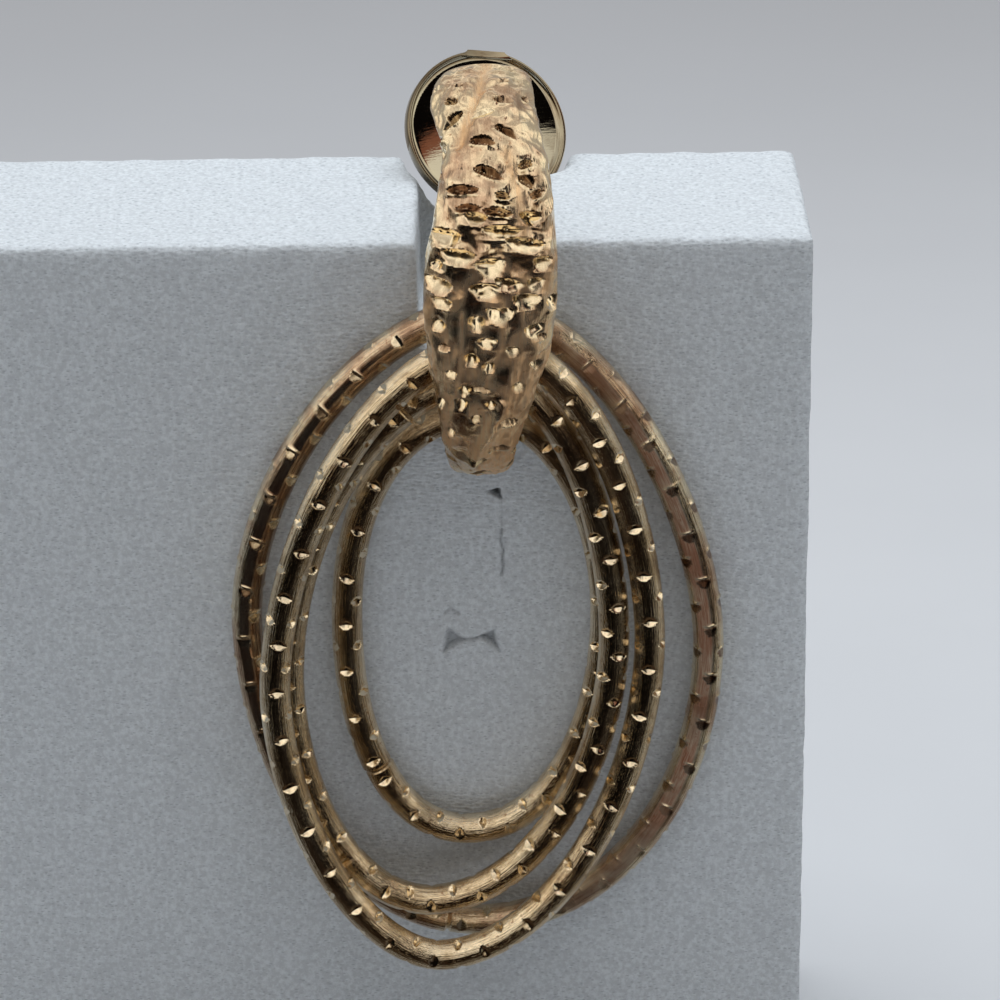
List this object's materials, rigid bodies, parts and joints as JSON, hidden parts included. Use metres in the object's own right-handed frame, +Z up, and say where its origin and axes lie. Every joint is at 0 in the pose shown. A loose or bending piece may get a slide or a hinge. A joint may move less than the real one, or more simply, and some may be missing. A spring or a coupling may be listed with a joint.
{
  "type": "clip-on hoop earring on a foam display block",
  "caption": "Clip-on earring of nested oval rings of notched round tube hung through a domed band with a round spring paddle, held in the cut of a plain foam block",
  "frame": {"origin": "centre of the foam block's flat underside, at z = 0", "axes": "+X to the right of the earring as seen from its front, +Y toward the back, where the clip paddle is, +Z up; the front band and rings face -Y"},
  "size_m": [0.058, 0.0288, 0.0733],
  "materials": {
    "foam": "matt closed-cell foam with a fine pitted skin",
    "gold_metal": "bright gold-tone plating, worn and darkened in the hollows",
    "copper_gold_metal": "gold-tone plating worn to a coppery tone",
    "pale_gold_metal": "mirror-bright pale gold plating"
  },
  "bodies": {
    "block_and_band": {"display_block": "foam", "front_band": "gold_metal", "hinge_pin": "gold_metal"},
    "clip": {"clip_paddle": "pale_gold_metal"},
    "drop": {"ring_small": "gold_metal", "ring_medium": "gold_metal", "ring_large": "gold_metal", "ring_outer": "copper_gold_metal"}
  },
  "joints": [
    {"name": "clip_hinge", "type": "hinge", "parent": "block_and_band", "child": "clip", "pos_m": [0.0084, -0.00374, 0.05001], "axis": [-1, 0, 0], "range_deg": [0, 50], "stiffness_Nm_per_rad": 0.002, "springref_deg": -17.19},
    {"name": "drop_swing", "type": "hinge", "parent": "block_and_band", "child": "drop", "pos_m": [0.0084, -0.0105, 0.057], "axis": [-1, 0, 0], "range_deg": [0, 20]}
  ]
}
